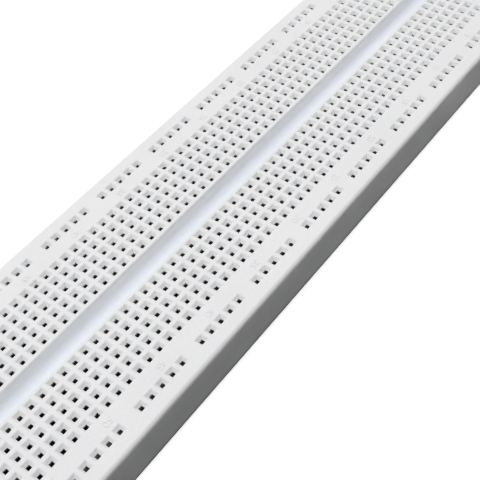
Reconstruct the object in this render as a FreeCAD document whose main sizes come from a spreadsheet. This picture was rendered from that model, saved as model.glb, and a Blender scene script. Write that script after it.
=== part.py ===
import FreeCAD, Part
import os
import Sketcher
from FreeCAD import Vector

# Solderless breadboard: a moulded housing with a grid of funnel-shaped lead holes, spring
# contacts in cells that open underneath, and an adhesive foam pad with its release liner.
# +X runs along the numbered columns, column 1 at the -X end, and +Y from row a to row j.
# The origin is the middle of the underside. All sizes are in millimetres.
SIZES = {
    "pitch": 2.54,              # hole spacing both ways
    "columns": 60,
    "rows": 5,                  # rows in each terminal block
    "first_row": 3.81,          # rows e and f, from the centre line
    "bus_row": 19.05,           # each bus row, from the centre line
    "board_length": 175,
    "board_width": 46,
    "board_height": 7.6,        # housing only
    "corner_radius": 1.5,
    "edge_radius": 0.9,
    "mouth": 1.9,               # lead hole, square, at the top face
    "mouth_lip": 0.15,          # width of the eased edge round the mouth
    "lip_depth": 0.08,
    "throat": 0.82,             # lead hole, square, below the funnel
    "funnel_depth": 0.64,       # from the top face to the throat
    "roof": 0.9,                # plastic above the contact cells
    "groove_width": 4.2,        # between the walls, at the top
    "groove_depth": 2.2,
    "groove_draft": 4,          # degrees
    "groove_corner": 1,         # upright corners
    "groove_lip": 0.3,          # rounding of the upper edges
    "groove_foot": 0.8,         # rounding between the walls and the floor
    "cell_width": 2,
    "cell_length": 12.5,
    "bus_group": 5,             # contacts in each marked group of a bus row
    "bus_group_step": 6,        # columns from one group to the next
    "bus_groups": 10,
    "bus_first_column": 2,
    "clip_width": 1.6,
    "clip_height": 6,
    "sheet_metal": 0.2,
    "bend_radius": 0.4,         # outside of the bends at the web
    "knee_height": 1.4,         # where the fingers start to lean together
    "pinch_height": 4.9,
    "pinch_gap": 0.24,
    "tip_gap": 1,
    "bus_lift": 0.6,            # how much higher the fingers of the bus strips pinch and end
    "finger_slot": 0.5,
    "slot_floor": 1,            # height of the uncut channel below the fingers
    "clip_group": 5,            # terminal clips in one node
    "screw_inset": 6,           # from each end of the housing
    "screw_hole": 3.2,
    "screw_head": 6,
    "boss": 7,
    "core_wall": 1.4,           # walls left round the hollows under the two ends
    "core_roof": 1.8,
    "spine_core_width": 3.2,    # hollow under the groove
    "spine_core_height": 4.2,
    "foam_inset": 0.3,
    "foam_thickness": 0.8,
    "liner_thickness": 0.1,
}

ROW_BLOCKS = {"a_e": -1, "f_j": 1}
BUS_SIDES = {"lower": -1, "upper": 1}
BUS_STRIPS = {"left": (0, 3), "middle": (3, 4), "right": (7, 3)}   # first group, groups

doc = FreeCAD.newDocument("solderless_breadboard")
sheet = doc.addObject("Spreadsheet::Sheet", "sizes")
for line, (name, number) in enumerate(SIZES.items(), 1):
    sheet.set(f"A{line}", name)
    sheet.set(f"B{line}", str(number))
    sheet.setAlias(f"B{line}", name)
doc.recompute()


def size(expression):
    """The number that an expression of the sheet's cells stands for."""
    return float(sheet.evalExpression(expression))


def column_x(column):
    """Expression for the X of a column, which may fall between two columns."""
    return f"({column} - (sizes.columns + 1) / 2) * sizes.pitch"


def row_y(side, row):
    """Expression for the Y of a terminal row, counted outwards from the groove."""
    return f"{side} * (sizes.first_row + {row} * sizes.pitch)"


def screw_x(side):
    """Expression for the X of the mounting screw at one end."""
    return f"{side} * (sizes.board_length / 2 - sizes.screw_inset)"


def new_body(label):
    body = doc.addObject("PartDesign::Body", label)
    body.Label = label
    body.AllowCompound = True
    return body


def origin_feature(body, role):
    return next(item for item in body.Origin.OriginFeatures if item.Role == role)


def new_sketch(body, name, role="XY_Plane", height="0"):
    sketch = body.newObject("Sketcher::SketchObject", name)
    sketch.AttachmentSupport = [(origin_feature(body, role), "")]
    sketch.MapMode = "FlatFace"
    sketch.setExpression("AttachmentOffset.Base.z", height)
    return sketch


def drive(sketch, kind, geometry, point, expression):
    """Hold one coordinate of a point, or a radius, to an expression of the sheet."""
    if kind == "Radius":
        index = sketch.addConstraint(Sketcher.Constraint(kind, geometry, size(expression)))
    else:
        index = sketch.addConstraint(
            Sketcher.Constraint(kind, -1, 1, geometry, point, size(expression)))
    sketch.setExpression(f"Constraints[{index}]", expression)


def add_outline(sketch, corners):
    """Closed outline of straight sides; corners are pairs of expressions."""
    first = sketch.GeometryCount
    count = len(corners)
    points = [Vector(size(x), size(y), 0) for x, y in corners]
    for index, start in enumerate(points):
        sketch.addGeometry(Part.LineSegment(start, points[(index + 1) % count]), False)
    for index in range(count):
        following = first + (index + 1) % count
        sketch.addConstraint(Sketcher.Constraint("Coincident", first + index, 2, following, 1))
    for index, (x, y) in enumerate(corners):
        drive(sketch, "DistanceX", first + index, 1, x)
        drive(sketch, "DistanceY", first + index, 1, y)


def add_rectangle(sketch, x, y, width, depth):
    """Rectangle about a centre; all four are expressions."""
    sides = [(-1, -1), (1, -1), (1, 1), (-1, 1)]
    add_outline(sketch, [(f"{x} + {i} * ({width}) / 2", f"{y} + {j} * ({depth}) / 2")
                         for i, j in sides])


def add_circle(sketch, x, y, diameter):
    centre = Vector(size(x), size(y), 0)
    radius = f"{diameter} / 2"
    index = sketch.addGeometry(Part.Circle(centre, Vector(0, 0, 1), size(radius)), False)
    drive(sketch, "DistanceX", index, 3, x)
    drive(sketch, "DistanceY", index, 3, y)
    drive(sketch, "Radius", index, 0, radius)


def pad(body, sketch, length, taper="0", symmetric=False):
    feature = body.newObject("PartDesign::Pad", f"{sketch.Name}_pad")
    feature.Profile = sketch
    feature.SideType = "Symmetric" if symmetric else "One side"
    feature.setExpression("Length", length)
    feature.setExpression("TaperAngle", taper)
    doc.recompute()
    return feature


def pocket(body, sketch, length, upward=False, taper="0", symmetric=False):
    """Cut a sketch out of the body and make sure that something was removed."""
    before = body.Shape.Volume
    feature = body.newObject("PartDesign::Pocket", f"{sketch.Name}_pocket")
    feature.Profile = sketch
    feature.SideType = "Symmetric" if symmetric else "One side"
    feature.Reversed = upward
    feature.setExpression("Length", length)
    feature.setExpression("TaperAngle", taper)
    doc.recompute()
    if feature.Shape.Volume >= before:
        raise RuntimeError(f"{feature.Label} removed nothing")
    return feature


def pattern(body, features, axis, step, count):
    """Repeat some features, or the whole body if none are named, along one of its axes."""
    repeat = body.newObject("PartDesign::LinearPattern", f"{body.Tip.Name}_pattern")
    repeat.Originals = features
    repeat.TransformMode = "Features" if features else "Whole shape"
    repeat.Direction = (origin_feature(body, axis), [""])
    repeat.Mode = "Spacing"
    repeat.setExpression("Offset", step)
    repeat.setExpression("Occurrences", count)
    repeat.Refine = False
    body.Tip = repeat
    doc.recompute()
    return repeat


def fillet(body, base, radius, wanted):
    """Round the edges of the base feature that a test of their middle point picks."""
    names = []
    for index, edge in enumerate(base.Shape.Edges, 1):
        if wanted(edge.CenterOfMass):
            names.append(f"Edge{index}")
    feature = body.newObject("PartDesign::Fillet", f"{base.Name}_fillet")
    feature.Base = (base, names)
    feature.setExpression("Radius", radius)
    doc.recompute()
    return feature


def place(body, x="0", y="0", z="0", turn=0):
    body.Placement.Rotation = FreeCAD.Rotation(Vector(0, 0, 1), turn)
    body.setExpression("Placement.Base.x", x)
    body.setExpression("Placement.Base.y", y)
    body.setExpression("Placement.Base.z", z)


def make_blank(body):
    """Block of the housing with rounded upright corners and a rounded top edge."""
    outline = new_sketch(body, "housing_outline")
    add_rectangle(outline, "0", "0", "sizes.board_length", "sizes.board_width")
    block = pad(body, outline, "sizes.board_height")
    half_length = size("sizes.board_length / 2")
    half_width = size("sizes.board_width / 2")
    top = size("sizes.board_height")
    block = fillet(body, block, "sizes.corner_radius",
                   lambda at: abs(abs(at.x) - half_length) + abs(abs(at.y) - half_width) < 0.01)
    fillet(body, block, "sizes.edge_radius", lambda at: abs(at.z - top) < 0.01)


def cut_groove(body):
    """Centre groove with drafted walls, rounded all round."""
    groove = new_sketch(body, "groove", height="sizes.board_height")
    add_rectangle(groove, "0", "0", "sizes.columns * sizes.pitch", "sizes.groove_width")
    cut = pocket(body, groove, "sizes.groove_depth", taper="-sizes.groove_draft")
    top = size("sizes.board_height")
    floor = size("sizes.board_height - sizes.groove_depth")
    half_width = size("sizes.groove_width / 2") + 0.01
    half_length = size("sizes.columns * sizes.pitch / 2") + 0.01

    def edges_between(low, high):
        return lambda at: (low < at.z < high and abs(at.x) < half_length
                           and abs(at.y) < half_width)

    cut = fillet(body, cut, "sizes.groove_corner", edges_between(floor + 0.1, top - 0.1))
    cut = fillet(body, cut, "sizes.groove_lip", edges_between(top - 0.01, top + 0.01))
    fillet(body, cut, "sizes.groove_foot", edges_between(floor - 0.01, floor + 0.01))


def cut_cores(body):
    """Hollows under the groove and under both ends, with a boss round each screw."""
    spine = new_sketch(body, "spine_core")
    add_rectangle(spine, "0", "0", "(sizes.columns - 1) * sizes.pitch", "sizes.spine_core_width")
    pocket(body, spine, "sizes.spine_core_height", upward=True)
    ends = new_sketch(body, "end_cores")
    inner = "(sizes.columns * sizes.pitch / 2 + sizes.core_wall)"
    outer = "(sizes.board_length / 2 - sizes.core_wall)"
    for side in (-1, 1):
        add_rectangle(ends, f"{side} * ({inner} + {outer}) / 2", "0", f"{outer} - {inner}",
                      "sizes.board_width - 2 * sizes.core_wall")
        add_circle(ends, screw_x(side), "0", "sizes.boss")
    pocket(body, ends, "sizes.board_height - sizes.core_roof", upward=True)


def cut_screw_holes(body):
    for name, diameter, depth, taper in (
            ("screw_holes", "sizes.screw_hole", "sizes.board_height + 1", "0"),
            ("screw_heads", "sizes.screw_head", "(sizes.screw_head - sizes.screw_hole) / 2", "-45")):
        circles = new_sketch(body, name, height="sizes.board_height")
        for side in (-1, 1):
            add_circle(circles, screw_x(side), "0", diameter)
        pocket(body, circles, depth, taper=taper)


def strip_columns(first_group, groups):
    """First and last column of a bus strip."""
    first = f"(sizes.bus_first_column + {first_group} * sizes.bus_group_step)"
    last = f"({first} + {groups - 1} * sizes.bus_group_step + sizes.bus_group - 1)"
    return first, last


def cut_cells(body):
    """Cells that open underneath: one for each terminal clip and each bus strip."""
    depth = "sizes.board_height - sizes.roof"
    bus = new_sketch(body, "bus_cells")
    slack = "(sizes.cell_length - sizes.rows * sizes.pitch)"
    for side in BUS_SIDES.values():
        for first_group, groups in BUS_STRIPS.values():
            first, last = strip_columns(first_group, groups)
            add_rectangle(bus, column_x(f"({first} + {last}) / 2"), f"{side} * sizes.bus_row",
                          f"({last} - {first} + 1) * sizes.pitch + {slack}", "sizes.cell_width")
    pocket(body, bus, depth, upward=True)
    cells = new_sketch(body, "terminal_cells")
    for side in ROW_BLOCKS.values():
        add_rectangle(cells, column_x(1), row_y(side, "(sizes.rows - 1) / 2"),
                      "sizes.cell_width", "sizes.cell_length")
    first = pocket(body, cells, depth, upward=True)
    pattern(body, [first], "X_Axis", "sizes.pitch", "sizes.columns")


def make_lead_hole():
    """The space of one lead hole, its mouth at z = 0: a throat, a funnel and an eased lip."""
    body = new_body("lead_hole")
    throat = new_sketch(body, "throat", height="-2 * sizes.roof")
    add_rectangle(throat, "0", "0", "sizes.throat", "sizes.throat")
    pad(body, throat, "2 * sizes.roof")
    inner = "(sizes.mouth - 2 * sizes.mouth_lip)"
    flare = "(sizes.funnel_depth - sizes.lip_depth)"
    funnel = new_sketch(body, "funnel", height="-sizes.funnel_depth")
    add_rectangle(funnel, "0", "0", "sizes.throat", "sizes.throat")
    pad(body, funnel, flare, taper=f"atan(({inner} - sizes.throat) / 2 / {flare})")
    lip = new_sketch(body, "lip", height="-sizes.lip_depth")
    add_rectangle(lip, "0", "0", inner, inner)
    pad(body, lip, "sizes.lip_depth", taper="atan(sizes.mouth_lip / sizes.lip_depth)")
    return body


def lead_hole_places():
    """Centres of all the lead holes, as pairs of expressions."""
    places = []
    for column in range(1, SIZES["columns"] + 1):
        for side in ROW_BLOCKS.values():
            places += [(column_x(column), row_y(side, row)) for row in range(SIZES["rows"])]
    for group in range(SIZES["bus_groups"]):
        first, _ = strip_columns(group, 1)
        for contact in range(SIZES["bus_group"]):
            x = column_x(f"({first} + {contact})")
            places += [(x, f"{side} * sizes.bus_row") for side in BUS_SIDES.values()]
    return places


def make_housing():
    block = new_body("housing_block")
    make_blank(block)
    cut_groove(block)
    cut_cores(block)
    cut_screw_holes(block)
    cut_cells(block)
    hole = make_lead_hole()
    top = size("sizes.board_height")
    grid = doc.addObject("Part::Feature", "lead_hole_grid")
    grid.Shape = Part.makeCompound([hole.Shape.translated(Vector(size(x), size(y), top))
                                    for x, y in lead_hole_places()])
    housing = doc.addObject("Part::Cut", "housing")
    housing.Label = "housing"
    housing.Base = block
    housing.Tool = grid
    housing.Refine = False
    place(housing, z="sizes.liner_thickness + sizes.foam_thickness")
    doc.recompute()
    if housing.Shape.Volume >= block.Shape.Volume:
        raise RuntimeError("the lead holes removed nothing")
    return housing


def contact_profile(sketch, lift):
    """Section of a spring contact: a web with two arms that pinch and then flare."""
    pinch = f"(sizes.pinch_height + {lift})"
    tip = f"(sizes.clip_height + {lift})"
    half = [
        ("sizes.clip_width / 2", "0"),
        ("sizes.clip_width / 2", "sizes.knee_height"),
        ("sizes.pinch_gap / 2 + sizes.sheet_metal", pinch),
        ("sizes.tip_gap / 2 + sizes.sheet_metal", tip),
        ("sizes.tip_gap / 2", tip),
        ("sizes.pinch_gap / 2", pinch),
        ("sizes.clip_width / 2 - sizes.sheet_metal", "sizes.knee_height"),
        ("sizes.clip_width / 2 - sizes.sheet_metal", "sizes.sheet_metal"),
    ]
    mirrored = [(f"-({x})", y) for x, y in reversed(half)]
    add_outline(sketch, half + mirrored)


def contact_strip(label, positions, missing=(), lift="0"):
    """One folded spring strip along Y with a pair of fingers at each contact position.

    Positions with no lead hole, listed in missing, keep only the web. The fingers are
    longer by lift.
    """
    body = new_body(label)
    profile = new_sketch(body, f"{label}_profile", "XZ_Plane")
    contact_profile(profile, lift)
    length = f"({positions} * sizes.pitch - sizes.finger_slot)"
    channel = pad(body, profile, length, symmetric=True)
    outer = size("sizes.clip_width / 2")
    inner = size("sizes.clip_width / 2 - sizes.sheet_metal")
    metal = size("sizes.sheet_metal")
    channel = fillet(body, channel, "sizes.bend_radius",
                     lambda at: abs(at.z) < 0.01 and abs(abs(at.x) - outer) < 0.01)
    fillet(body, channel, "sizes.bend_radius - sizes.sheet_metal",
           lambda at: abs(at.z - metal) < 0.01 and abs(abs(at.x) - inner) < 0.01)
    slots = new_sketch(body, f"{label}_slots", "YZ_Plane")
    cut_height = "(sizes.board_height - sizes.slot_floor)"
    edge = 1
    while edge < positions:
        gaps = 1 if edge in missing else 0
        y = f"({edge} + {gaps} / 2 - {positions} / 2) * sizes.pitch"
        add_rectangle(slots, y, f"sizes.slot_floor + {cut_height} / 2",
                      f"sizes.finger_slot + {gaps} * sizes.pitch", cut_height)
        edge += 1 + gaps
    pocket(body, slots, "2 * sizes.clip_width", symmetric=True)
    return body


def make_terminal_clips():
    """The five-contact clips of every column, in nodes of a few columns each."""
    nodes = []
    group = SIZES["clip_group"]
    for block, side in ROW_BLOCKS.items():
        for first in range(1, SIZES["columns"], group):
            label = f"terminal_clips_{block}_{first:02d}_{first + group - 1:02d}"
            body = contact_strip(label, SIZES["rows"])
            pattern(body, [], "X_Axis", "sizes.pitch", "sizes.clip_group")
            place(body, column_x(first), row_y(side, "(sizes.rows - 1) / 2"),
                  "sizes.liner_thickness + sizes.foam_thickness")
            nodes.append(body)
    return nodes


def make_bus_strips():
    nodes = []
    for side_name, side in BUS_SIDES.items():
        for name, (first_group, groups) in BUS_STRIPS.items():
            positions = (groups - 1) * SIZES["bus_group_step"] + SIZES["bus_group"]
            missing = range(SIZES["bus_group"], positions, SIZES["bus_group_step"])
            label = f"bus_strip_{side_name}_{name}"
            body = contact_strip(label, positions, missing, "sizes.bus_lift")
            first, last = strip_columns(first_group, groups)
            place(body, column_x(f"({first} + {last}) / 2"), f"{side} * sizes.bus_row",
                  "sizes.liner_thickness + sizes.foam_thickness", turn=90)
            nodes.append(body)
    return nodes


def make_backing(label, thickness, height):
    """Flat sheet under the housing, pierced for the mounting screws."""
    body = new_body(label)
    outline = new_sketch(body, f"{label}_outline")
    add_rectangle(outline, "0", "0", "sizes.board_length - 2 * sizes.foam_inset",
                  "sizes.board_width - 2 * sizes.foam_inset")
    for side in (-1, 1):
        add_circle(outline, screw_x(side), "0", "sizes.screw_hole")
    pad(body, outline, thickness)
    place(body, z=height)
    return body


nodes = [
    make_housing(),
    make_backing("adhesive_foam_pad", "sizes.foam_thickness", "sizes.liner_thickness"),
    make_backing("release_liner", "sizes.liner_thickness", "0"),
]
nodes += make_terminal_clips() + make_bus_strips()
doc.recompute()

for item in doc.Objects:
    if {"Invalid", "Error"} & set(item.State):
        raise RuntimeError(f"{item.Label} failed: {item.State}")
for node in nodes:
    if node.Shape.isNull() or not node.Shape.isValid():
        raise RuntimeError(f"{node.Label} has no valid shape")

os.makedirs("parts", exist_ok=True)
for node in nodes:
    node.Shape.exportStep(f"parts/{node.Label}.step")
    print(f"{node.Label}: {len(node.Shape.Solids)} solid(s), {node.Shape.Volume:.2f} mm3")
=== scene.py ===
import math
import bmesh
import bpy
from mathutils import Matrix, Vector


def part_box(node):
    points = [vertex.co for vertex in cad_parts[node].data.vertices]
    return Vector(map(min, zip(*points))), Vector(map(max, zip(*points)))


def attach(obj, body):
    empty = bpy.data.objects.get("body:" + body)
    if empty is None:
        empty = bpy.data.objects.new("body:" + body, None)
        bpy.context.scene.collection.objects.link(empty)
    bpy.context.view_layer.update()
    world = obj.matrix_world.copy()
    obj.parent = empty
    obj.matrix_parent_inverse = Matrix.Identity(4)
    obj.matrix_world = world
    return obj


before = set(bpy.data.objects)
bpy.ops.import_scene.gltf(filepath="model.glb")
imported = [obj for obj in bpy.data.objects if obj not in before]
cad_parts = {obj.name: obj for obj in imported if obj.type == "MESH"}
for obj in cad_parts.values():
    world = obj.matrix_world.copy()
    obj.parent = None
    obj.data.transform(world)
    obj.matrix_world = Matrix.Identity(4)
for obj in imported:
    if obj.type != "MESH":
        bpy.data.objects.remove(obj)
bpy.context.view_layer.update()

# A solderless breadboard on a pale floor. Everything is in metres, in the frame of the part:
# +X along the numbered columns, +Y from row a to row j, +Z up, the underside at z = 0.
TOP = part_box("housing")[1][2]
MM = 0.001
PITCH = 2.54 * MM
COLUMNS = 60

# Row a lies 5.5 pitches before the centre line. The groove adds two pitches between e and f.
ROW_NAMES = "abcdefghij"
BLOCK_ROWS = 5
ROW_A = -5.5
GROOVE_PITCHES = 2

# Raised marks: the numbers lie beside the terminal blocks, the letters past both end columns.
NUMBER_STEP = 5
NUMBER_ROW = 6.5 * PITCH
LETTER_COLUMNS = (0.15, COLUMNS + 0.85)
MARK_SIZE = 1.9 * MM
MARK_HEIGHT = 0.06 * MM
MARK_BEVEL = 0.02 * MM
WELD_DISTANCE = 0.002 * MM

# Painted bluish shade on the groove's floor, for the cool light in its shadow: how far it
# reaches from the middle along X and Y, the height below which it is full, the distance over
# which it fades out, and its colour.
SHADE_PAINT_REACH_X = COLUMNS / 2 * PITCH
SHADE_PAINT_REACH_Y = 1.7 * MM
SHADE_PAINT_HEIGHT = TOP - 0.35 * MM
SHADE_PAINT_FADE = 0.3 * MM
GROOVE_SHADE_PAINT = (0.94, 0.99, 1.075)

STUDIO_REACH = 3.0
FLOOR_HEIGHT = -0.02 * MM

# Directions: the one from which the camera looks, roughly, and straight up.
FRONT = (0.3, 0.95, 0.0)
UP = (0.0, 0.0, 1.0)

# Points of the view's tone curve as (light, shown), and the curve that acts on all channels.
TONES = ((0.05, 0.035), (0.20, 0.18), (0.46, 0.565), (0.665, 0.70), (0.80, 0.815))
COMBINED_CURVE = 3

# Sockets of a Mix node in its colour mode.
MIX_FACTOR, MIX_FIRST, MIX_SECOND = 0, 6, 7
MIX_RESULT = 2


def column_x(column):
    return (column - (COLUMNS + 1) / 2) * PITCH


def row_y(index):
    return (index + ROW_A + (GROOVE_PITCHES if index >= BLOCK_ROWS else 0)) * PITCH


# ---------------------------------------------------------------- shader nodes
# An owner is whatever has the node tree: a material or the world.

def link(owner, start, end):
    owner.node_tree.links.new(start, end)


def multiply(owner, first, second):
    node = owner.node_tree.nodes.new("ShaderNodeMath")
    node.operation = "MULTIPLY"
    link(owner, first, node.inputs[0])
    link(owner, second, node.inputs[1])
    return node.outputs["Value"]


def fade(owner, value, span, ends, interpolation="LINEAR"):
    """Runs from the first of two end values to the second while value crosses a span."""
    node = owner.node_tree.nodes.new("ShaderNodeMapRange")
    node.interpolation_type = interpolation
    for socket, number in zip(("From Min", "From Max", "To Min", "To Max"), (*span, *ends)):
        node.inputs[socket].default_value = number
    link(owner, value, node.inputs["Value"])
    return node.outputs["Result"]


def noise(material, where, size, detail=3.0, roughness=0.55):
    """Noise whose blotches are about as large as size, in metres."""
    node = material.node_tree.nodes.new("ShaderNodeTexNoise")
    node.inputs["Scale"].default_value = 1.0 / size
    node.inputs["Detail"].default_value = detail
    node.inputs["Roughness"].default_value = roughness
    link(material, where, node.inputs["Vector"])
    return node.outputs["Fac"]


def stretched(material, where, scale):
    """Coordinates scaled by axis. A small scale draws a pattern out along its axis."""
    node = material.node_tree.nodes.new("ShaderNodeMapping")
    node.inputs["Scale"].default_value = scale
    link(material, where, node.inputs["Vector"])
    return node.outputs["Vector"]


def ramp(material, value, stops):
    """Colour ramp with two (position, colour) stops; a number stands for a grey."""
    node = material.node_tree.nodes.new("ShaderNodeValToRGB")
    for element, (position, colour) in zip(node.color_ramp.elements, stops):
        element.position = position
        rgb = colour if isinstance(colour, tuple) else (colour,) * 3
        element.color = (*rgb, 1.0)
    link(material, value, node.inputs["Fac"])
    return node.outputs["Color"]


def tinted(material, colour, tint, factor=1.0):
    """A colour multiplied by a tint. The tint and the factor may be sockets or plain values."""
    node = material.node_tree.nodes.new("ShaderNodeMix")
    node.data_type = "RGBA"
    node.blend_type = "MULTIPLY"
    link(material, colour, node.inputs[MIX_FIRST])
    for socket, value in ((MIX_FACTOR, factor), (MIX_SECOND, tint)):
        if hasattr(value, "is_linked"):
            link(material, value, node.inputs[socket])
        elif isinstance(value, tuple):
            node.inputs[socket].default_value = (*value, 1.0)
        else:
            node.inputs[socket].default_value = value
    return node.outputs[MIX_RESULT]


def bump(material, shader, height, depth, strength, base=None):
    """Bump of a height map whose full range is depth metres, on top of a base normal."""
    node = material.node_tree.nodes.new("ShaderNodeBump")
    node.inputs["Strength"].default_value = strength
    node.inputs["Distance"].default_value = depth
    link(material, height, node.inputs["Height"])
    if base is not None:
        link(material, base, node.inputs["Normal"])
    link(material, node.outputs["Normal"], shader.inputs["Normal"])
    return node.outputs["Normal"]


# ---------------------------------------------------------------- materials

def new_material(name):
    """A material with its Principled shader and a place to read object coordinates."""
    material = bpy.data.materials.new(name)
    material.use_nodes = True
    nodes = material.node_tree.nodes
    shader = nodes["Principled BSDF"]
    where = nodes.new("ShaderNodeTexCoord").outputs["Object"]
    return material, shader, where


def groove_floor(material, where):
    """Mask of the painted bluish shade: 1 on the floor of the centre groove and in the hollow
    under it, falling to 0 up its walls; 0 on the hole face and on the sides and ends of the board."""
    nodes = material.node_tree.nodes
    axes = nodes.new("ShaderNodeSeparateXYZ")
    link(material, where, axes.inputs["Vector"])
    bands = []
    for axis, limit in (("X", SHADE_PAINT_REACH_X), ("Y", SHADE_PAINT_REACH_Y), ("Z", SHADE_PAINT_HEIGHT)):
        distance = nodes.new("ShaderNodeMath")
        distance.operation = "ABSOLUTE"
        link(material, axes.outputs[axis], distance.inputs[0])
        span = (limit, limit + SHADE_PAINT_FADE)
        bands.append(fade(material, distance.outputs["Value"], span, ends=(1.0, 0.0)))
    along, across, below = bands
    return multiply(material, multiply(material, along, across), below)


def moulded_plastic():
    """White satin ABS: faint mottling, a fine spark-eroded grain, and painted bluish shade on the
    groove's floor.
    """
    material, shader, where = new_material("moulded_plastic")
    mottle = ramp(material, noise(material, where, size=14 * MM, detail=4.0),
                  [(0.35, (0.885, 0.888, 0.893)), (0.65, (0.912, 0.914, 0.918))])
    specks = ramp(material, noise(material, where, size=0.5 * MM, detail=5.0),
                  [(0.30, 0.965), (0.55, 1.0)])
    colour = tinted(material, mottle, specks)
    # Painted shade: a bluish cast on the groove's floor, for the cool light in its shadow.
    colour = tinted(material, colour, GROOVE_SHADE_PAINT, factor=groove_floor(material, where))
    link(material, colour, shader.inputs["Base Color"])
    gloss = ramp(material, noise(material, where, size=5 * MM), [(0.3, 0.38), (0.7, 0.50)])
    link(material, gloss, shader.inputs["Roughness"])
    swells = noise(material, where, size=9 * MM, detail=1.0)
    grain = noise(material, where, size=0.12 * MM)
    base = bump(material, shader, swells, depth=0.02 * MM, strength=0.5)
    bump(material, shader, grain, depth=0.004 * MM, strength=0.5, base=base)
    shader.inputs["IOR"].default_value = 1.50
    shader.inputs["Subsurface Weight"].default_value = 0.12
    shader.inputs["Subsurface Radius"].default_value = (1.0, 0.9, 0.8)
    shader.inputs["Subsurface Scale"].default_value = 0.4 * MM
    return material


def spring_metal():
    """Nickel-plated spring sheet with fine rolling lines."""
    material, shader, where = new_material("spring_metal")
    rolled = stretched(material, where, scale=(1.0, 1.0, 0.06))
    lines = noise(material, rolled, size=0.05 * MM, detail=4.0)
    tone = ramp(material, lines, [(0.35, (0.62, 0.60, 0.56)), (0.65, (0.80, 0.78, 0.74))])
    link(material, tone, shader.inputs["Base Color"])
    gloss = ramp(material, noise(material, where, size=1.5 * MM), [(0.3, 0.22), (0.7, 0.38)])
    link(material, gloss, shader.inputs["Roughness"])
    bump(material, shader, lines, depth=0.003 * MM, strength=0.6)
    shader.inputs["Metallic"].default_value = 1.0
    return material


def foam_tape():
    """Closed-cell foam with pores of about a quarter of a millimetre, in a dark grey that is
    partly painted shade.
    """
    material, shader, where = new_material("foam_tape")
    pores = material.node_tree.nodes.new("ShaderNodeTexVoronoi")
    pores.inputs["Scale"].default_value = 1.0 / (0.28 * MM)
    link(material, where, pores.inputs["Vector"])
    # Dark grey, partly painted shade: it deepens the dark line along the foot of the board's side.
    tone = ramp(material, pores.outputs["Distance"],
                [(0.05, (0.22, 0.22, 0.21)), (0.5, (0.34, 0.34, 0.33))])
    blotch = ramp(material, noise(material, where, size=6 * MM), [(0.3, 0.94), (0.7, 1.0)])
    link(material, tinted(material, tone, blotch), shader.inputs["Base Color"])
    bump(material, shader, pores.outputs["Distance"], depth=0.08 * MM, strength=0.8)
    shader.inputs["Roughness"].default_value = 0.9
    return material


def liner_paper():
    """Waxed kraft release paper with long fibres and a soft sheen."""
    material, shader, where = new_material("liner_paper")
    drawn = stretched(material, where, scale=(0.15, 1.0, 1.0))
    fibres = noise(material, drawn, size=0.35 * MM, detail=6.0, roughness=0.7)
    tone = ramp(material, fibres, [(0.30, (0.56, 0.46, 0.30)), (0.70, (0.74, 0.64, 0.45))])
    blotch = ramp(material, noise(material, where, size=12 * MM), [(0.3, 0.92), (0.7, 1.0)])
    link(material, tinted(material, tone, blotch), shader.inputs["Base Color"])
    gloss = ramp(material, noise(material, where, size=3 * MM), [(0.3, 0.34), (0.7, 0.55)])
    link(material, gloss, shader.inputs["Roughness"])
    bump(material, shader, fibres, depth=0.02 * MM, strength=0.6)
    return material


def studio_paper():
    """Matt white paper that glows a little, which keeps the shadows on the floor faint."""
    material, shader, where = new_material("studio_paper")
    tone = ramp(material, noise(material, where, size=0.3, detail=2.0), [(0.3, 0.86), (0.7, 0.90)])
    link(material, tone, shader.inputs["Base Color"])
    shader.inputs["Roughness"].default_value = 0.9
    shader.inputs["Emission Color"].default_value = (1, 1, 1, 1)
    shader.inputs["Emission Strength"].default_value = 0.75
    return material


def dress(thing, material):
    thing.data.materials.clear()
    thing.data.materials.append(material)


# ---------------------------------------------------------------- moulded markings

def mark(text, x, y):
    """One raised mark on the hole face, as a mesh in the part's frame."""
    curve = bpy.data.curves.new("mark", "FONT")
    curve.body = text
    curve.size = MARK_SIZE
    curve.align_x = "CENTER"
    curve.align_y = "CENTER"
    curve.extrude = MARK_HEIGHT / 2
    curve.bevel_depth = MARK_BEVEL
    curve.bevel_resolution = 1
    curve.resolution_u = 3
    source = bpy.data.objects.new("mark", curve)
    mesh = bpy.data.meshes.new_from_object(source)
    # The bevel thickens the mark both ways. Sunk by as much, it stands MARK_HEIGHT proud.
    mesh.transform(Matrix.Translation((x, y, TOP + MARK_HEIGHT / 2 - MARK_BEVEL)))
    bpy.data.objects.remove(source)
    bpy.data.curves.remove(curve)
    return mesh


def joined(name, meshes):
    """One piece made of several meshes."""
    whole = bmesh.new()
    for mesh in meshes:
        whole.from_mesh(mesh)
        bpy.data.meshes.remove(mesh)
    bmesh.ops.remove_doubles(whole, verts=whole.verts, dist=WELD_DISTANCE)
    data = bpy.data.meshes.new(name)
    whole.to_mesh(data)
    whole.free()
    piece = bpy.data.objects.new(name, data)
    bpy.context.scene.collection.objects.link(piece)
    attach(piece, "root")
    return piece


def column_numbers():
    """1, 5, 10 and so on to 60, beside both terminal blocks."""
    marks = []
    for column in (1, *range(NUMBER_STEP, COLUMNS + 1, NUMBER_STEP)):
        for side in (-1, 1):
            marks.append(mark(str(column), column_x(column), side * NUMBER_ROW))
    return joined("column_numbers", marks)


def row_letters():
    """a to j at both ends of the rows."""
    marks = []
    for index, letter in enumerate(ROW_NAMES):
        for column in LETTER_COLUMNS:
            marks.append(mark(letter, column_x(column), row_y(index)))
    return joined("row_letters", marks)


# ---------------------------------------------------------------- studio

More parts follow.
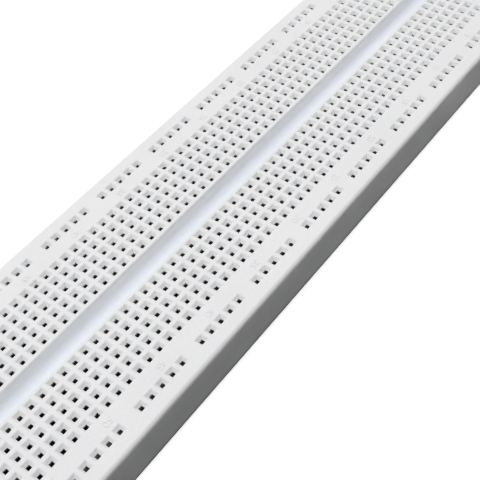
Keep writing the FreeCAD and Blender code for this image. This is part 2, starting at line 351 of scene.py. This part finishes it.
def studio():
    """Pale floor in a pale dome. Neither throws diffuse light on the board."""
    bpy.ops.mesh.primitive_plane_add(size=2 * STUDIO_REACH, location=(0, 0, FLOOR_HEIGHT))
    floor = bpy.context.object
    floor.name = "floor"
    bpy.ops.mesh.primitive_uv_sphere_add(segments=48, ring_count=24, radius=STUDIO_REACH)
    dome = bpy.context.object
    dome.name = "dome"
    dome.data.shade_smooth()
    dome.visible_glossy = False
    dome.visible_shadow = False
    paper = studio_paper()
    for thing in (floor, dome):
        dress(thing, paper)
        thing.visible_diffuse = False


def area_light(name, at, size, power, colour):
    """A rectangular light that faces the origin."""
    data = bpy.data.lights.new(name, "AREA")
    data.shape = "RECTANGLE"
    data.size, data.size_y = size
    data.energy = power
    data.color = colour
    light = bpy.data.objects.new(name, data)
    light.location = at
    light.rotation_euler = (-Vector(at)).to_track_quat("-Z", "Y").to_euler()
    bpy.context.scene.collection.objects.link(light)


def sky(back, front, below, colour):
    """Light from all round: one strength from behind the board, another from the camera's
    side, and a share of that, below, under the horizon."""
    world = bpy.data.worlds.new("studio")
    world.use_nodes = True
    bpy.context.scene.world = world
    nodes = world.node_tree.nodes
    where = nodes.new("ShaderNodeTexCoord").outputs["Generated"]

    def turning(direction, reach, ends):
        """Runs between two end values as a ray turns towards a direction."""
        along = nodes.new("ShaderNodeVectorMath")
        along.operation = "DOT_PRODUCT"
        along.inputs[1].default_value = direction
        link(world, where, along.inputs[0])
        return fade(world, along.outputs["Value"], (-reach, reach), ends, "SMOOTHSTEP")

    level = turning(FRONT, reach=0.6, ends=(back, front))
    horizon = turning(UP, reach=0.05, ends=(below, 1.0))
    background = nodes["Background"]
    link(world, multiply(world, level, horizon), background.inputs["Strength"])
    background.inputs["Color"].default_value = (*colour, 1.0)


def camera():
    """Looks down over one corner of the board, tilted, with the ends out of the frame."""
    data = bpy.data.cameras.new("camera")
    data.lens = 65.69
    data.sensor_width = 36.0
    data.clip_start = 0.01
    view = bpy.data.objects.new("camera", data)
    aim = Vector((8.40, 10.95, 0)) * MM + Vector((0, 0, TOP))
    distance = 159.54 * MM
    # The azimuth is the direction of view, turned from +Y towards -X.
    azimuth = math.radians(135.36)
    elevation = math.radians(48.84)
    roll = math.radians(-9.65)
    forward = Vector((-math.sin(azimuth) * math.cos(elevation),
                      math.cos(azimuth) * math.cos(elevation), -math.sin(elevation)))
    right = forward.cross(Vector(UP)).normalized()
    up = right.cross(forward)
    right, up = (right * math.cos(roll) + up * math.sin(roll),
                 up * math.cos(roll) - right * math.sin(roll))
    place = aim - forward * distance
    view.matrix_world = Matrix((
        (right.x, up.x, -forward.x, place.x),
        (right.y, up.y, -forward.y, place.y),
        (right.z, up.z, -forward.z, place.z),
        (0, 0, 0, 1)))
    bpy.context.scene.collection.objects.link(view)
    bpy.context.scene.camera = view


def tone_curve():
    """Plain view with the contrast of a product photo: darker shadows, lifted middle greys."""
    view = bpy.context.scene.view_settings
    view.view_transform = "Standard"
    view.use_curve_mapping = True
    points = view.curve_mapping.curves[COMBINED_CURVE].points
    for light, shown in TONES:
        points.new(light, shown)
    view.curve_mapping.update()


# ---------------------------------------------------------------- the scene

plastic = moulded_plastic()
metal = spring_metal()
finishes = {"housing": plastic, "adhesive_foam_pad": foam_tape(), "release_liner": liner_paper()}
for name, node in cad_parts.items():
    dress(node, finishes.get(name, metal))
dress(column_numbers(), plastic)
dress(row_letters(), plastic)

camera()
studio()
sky(back=0.40, front=0.10, below=0.05, colour=(1.0, 0.99, 0.94))
area_light("key", at=(-0.15, -0.5, 1.3), size=(2.4, 2.0), power=22.2, colour=(0.985, 0.98, 1.0))
area_light("window", at=(1.1, 0.1, 0.5), size=(0.8, 0.8), power=1.5, colour=(0.72, 0.84, 1.0))
tone_curve()
